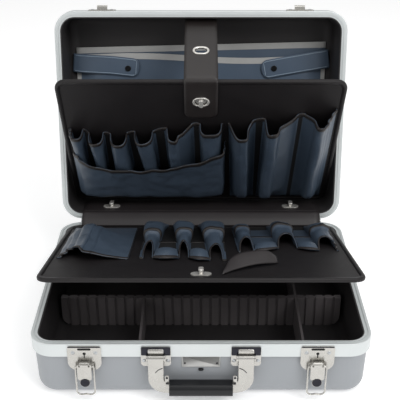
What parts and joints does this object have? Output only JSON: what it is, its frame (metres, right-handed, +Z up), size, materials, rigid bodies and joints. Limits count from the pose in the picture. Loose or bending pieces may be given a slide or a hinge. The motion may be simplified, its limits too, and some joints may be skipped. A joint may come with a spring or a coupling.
{
  "type": "tool case",
  "caption": "Hard-shell tool case standing open: framed base and hinged lid, two leatherette panels with tool pockets, grooved dividers, draw latches and a folding handle.",
  "frame": {"origin": "middle of the base's flat underside, midway between the sides, front and back of the case", "axes": "+X to the right seen from the front, +Y to the back, +Z up"},
  "size_m": [0.46, 0.5089, 0.4341],
  "materials": {
    "shell_abs": "fine leather grain",
    "frame_aluminium": "satin anodised",
    "lining_plastic": "matt",
    "divider_plastic": "moulded satin",
    "hinge_steel": "zinc plated",
    "latch_nickel": "satin nickel",
    "grip_plastic": "soft touch",
    "panel_leatherette": "grained leatherette",
    "binding_vinyl": "folded vinyl tape",
    "pocket_vinyl": "embossed vinyl",
    "document_vinyl": "smooth vinyl",
    "lock_nickel": "bright nickel"
  },
  "bodies": {
    "base": {"base_shell": "shell_abs", "base_frame": "frame_aluminium", "base_liner": "lining_plastic", "front_comb": "divider_plastic", "rear_comb": "divider_plastic", "long_divider": "divider_plastic", "left_divider": "divider_plastic", "right_divider": "divider_plastic", "rear_divider": "divider_plastic", "hinge_leaf_base": "hinge_steel", "hinge_pin": "hinge_steel", "base_rivets": "hinge_steel", "left_latch_plate": "latch_nickel", "right_latch_plate": "latch_nickel", "latch_pins": "hinge_steel", "left_handle_bracket": "latch_nickel", "right_handle_bracket": "latch_nickel", "handle_pins": "hinge_steel"},
    "lid": {"lid_shell": "shell_abs", "lid_frame": "frame_aluminium", "lid_liner": "lining_plastic", "hinge_leaf_lid": "hinge_steel", "lid_rivets": "hinge_steel", "left_catch": "latch_nickel", "right_catch": "latch_nickel", "document_pocket": "document_vinyl", "left_document_strap": "document_vinyl", "right_document_strap": "document_vinyl", "document_snaps": "lock_nickel", "hinge_flap": "panel_leatherette", "flap_lock_plates": "lock_nickel", "flap_bridge": "panel_leatherette", "panel_strap": "panel_leatherette", "strap_eyelets": "lock_nickel"},
    "upper_panel": {"upper_board": "panel_leatherette", "upper_binding": "binding_vinyl", "upper_loops": "pocket_vinyl", "upper_wide_pocket": "pocket_vinyl", "upper_tall_pockets": "pocket_vinyl", "upper_lock_plate": "lock_nickel"},
    "lower_panel": {"lower_board": "panel_leatherette", "lower_binding": "binding_vinyl", "lower_big_pocket": "pocket_vinyl", "lower_loops": "pocket_vinyl", "lower_side_loops": "pocket_vinyl", "lower_pull": "panel_leatherette", "lower_lock_plate": "lock_nickel"},
    "handle": {"left_handle_arm": "latch_nickel", "right_handle_arm": "latch_nickel", "handle_grip": "grip_plastic", "handle_core": "hinge_steel"},
    "left_latch_lever": {"left_latch_lever": "latch_nickel"},
    "right_latch_lever": {"right_latch_lever": "latch_nickel"},
    "left_latch_bail": {"left_latch_bail": "latch_nickel"},
    "right_latch_bail": {"right_latch_bail": "latch_nickel"},
    "upper_turn_button": {"upper_turn_button": "lock_nickel"},
    "lower_turn_button": {"lower_turn_button": "lock_nickel"},
    "left_flap_button": {"left_flap_button": "lock_nickel"},
    "right_flap_button": {"right_flap_button": "lock_nickel"}
  },
  "joints": [
    {"name": "lid_hinge", "type": "hinge", "parent": "base", "child": "lid", "pos_m": [0, 0.1735, 0.0902], "axis": [-1, 0, 0], "range_deg": [-100, 0], "deforming": ["flap_bridge"]},
    {"name": "upper_panel_hinge", "type": "hinge", "parent": "lid", "child": "upper_panel", "pos_m": [0, 0.24114, 0.09831], "axis": [-1, 0, 0], "range_deg": [0, 38.3], "deforming": ["panel_strap", "strap_eyelets"]},
    {"name": "lower_panel_hinge", "type": "hinge", "parent": "base", "child": "lower_panel", "pos_m": [0, 0.1559, 0.086], "axis": [-1, 0, 0], "range_deg": [-16.2, 0]},
    {"name": "handle_swing", "type": "hinge", "parent": "base", "child": "handle", "pos_m": [0, -0.176, 0.072], "axis": [-1, 0, 0], "range_deg": [0, 105]},
    {"name": "left_lever_hinge", "type": "hinge", "parent": "base", "child": "left_latch_lever", "pos_m": [-0.155, -0.1767, 0.0627], "axis": [1, 0, 0], "range_deg": [-150, 0]},
    {"name": "left_bail_hinge", "type": "hinge", "parent": "left_latch_lever", "child": "left_latch_bail", "pos_m": [-0.155, -0.1767, 0.0587], "axis": [-1, 0, 0], "range_deg": [0, 180]},
    {"name": "right_lever_hinge", "type": "hinge", "parent": "base", "child": "right_latch_lever", "pos_m": [0.155, -0.1767, 0.0627], "axis": [1, 0, 0], "range_deg": [-150, 0]},
    {"name": "right_bail_hinge", "type": "hinge", "parent": "right_latch_lever", "child": "right_latch_bail", "pos_m": [0.155, -0.1767, 0.0587], "axis": [-1, 0, 0], "range_deg": [0, 180]},
    {"name": "upper_button_turn", "type": "hinge", "parent": "upper_panel", "child": "upper_turn_button", "pos_m": [0, 0.11705, 0.32455], "axis": [0, -0.8805, -0.4741], "range_deg": [0, 90]},
    {"name": "lower_button_turn", "type": "hinge", "parent": "lower_panel", "child": "lower_turn_button", "pos_m": [0, -0.12126, 0.1686], "axis": [0, 0.279, 0.9603], "range_deg": [0, 90]},
    {"name": "left_flap_button_turn", "type": "hinge", "parent": "lid", "child": "left_flap_button", "pos_m": [-0.151, 0.20218, 0.10238], "axis": [0, 0.1392, 0.9903], "range_deg": [0, 90]},
    {"name": "right_flap_button_turn", "type": "hinge", "parent": "lid", "child": "right_flap_button", "pos_m": [0.151, 0.20218, 0.10238], "axis": [0, 0.1392, 0.9903], "range_deg": [0, 90]}
  ],
  "couplings": [
    {"joint": "upper_panel_hinge", "follows": "lid_hinge", "ratio": -0.383},
    {"joint": "lower_panel_hinge", "follows": "lid_hinge", "ratio": 0.162}
  ]
}
